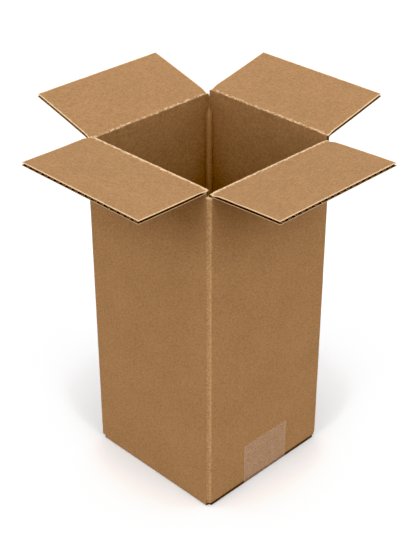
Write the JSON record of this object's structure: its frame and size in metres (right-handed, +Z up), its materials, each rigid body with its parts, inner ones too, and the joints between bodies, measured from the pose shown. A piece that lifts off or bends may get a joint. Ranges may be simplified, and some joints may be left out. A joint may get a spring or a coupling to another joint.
{
  "type": "open cardboard box",
  "caption": "Tall square corrugated cardboard box, open at the top, with hinged top flaps and a taped bottom.",
  "frame": {"origin": "centre of the box's underside, on the surface that it stands on", "axes": "+Z up through the open mouth; +Y from the front wall to the rear wall, along the bottom seam; +X from the left wall to the right wall, which carry the outer flaps"},
  "size_m": [0.2477, 0.2469, 0.2913],
  "materials": {
    "kraft_board": "matte",
    "clear_tape": "satin"
  },
  "bodies": {
    "box": {"box_body": "kraft_board", "bottom_tape": "clear_tape"},
    "front_flap": {"inner_flap_front": "kraft_board"},
    "rear_flap": {"inner_flap_rear": "kraft_board"},
    "left_flap": {"outer_flap_left": "kraft_board"},
    "right_flap": {"outer_flap_right": "kraft_board"}
  },
  "joints": [
    {"name": "front_flap_fold", "type": "hinge", "parent": "box", "child": "front_flap", "pos_m": [0, -0.0625, 0.2725], "axis": [-1, 0, 0], "range_deg": [-62.8, 177.2]},
    {"name": "rear_flap_fold", "type": "hinge", "parent": "box", "child": "rear_flap", "pos_m": [0, 0.0625, 0.2725], "axis": [1, 0, 0], "range_deg": [-76, 164]},
    {"name": "left_flap_fold", "type": "hinge", "parent": "box", "child": "left_flap", "pos_m": [-0.0625, 0, 0.2756], "axis": [0, 1, 0], "range_deg": [-60.3, 179.7]},
    {"name": "right_flap_fold", "type": "hinge", "parent": "box", "child": "right_flap", "pos_m": [0.0625, 0, 0.2756], "axis": [0, -1, 0], "range_deg": [-72.9, 167.1]}
  ]
}
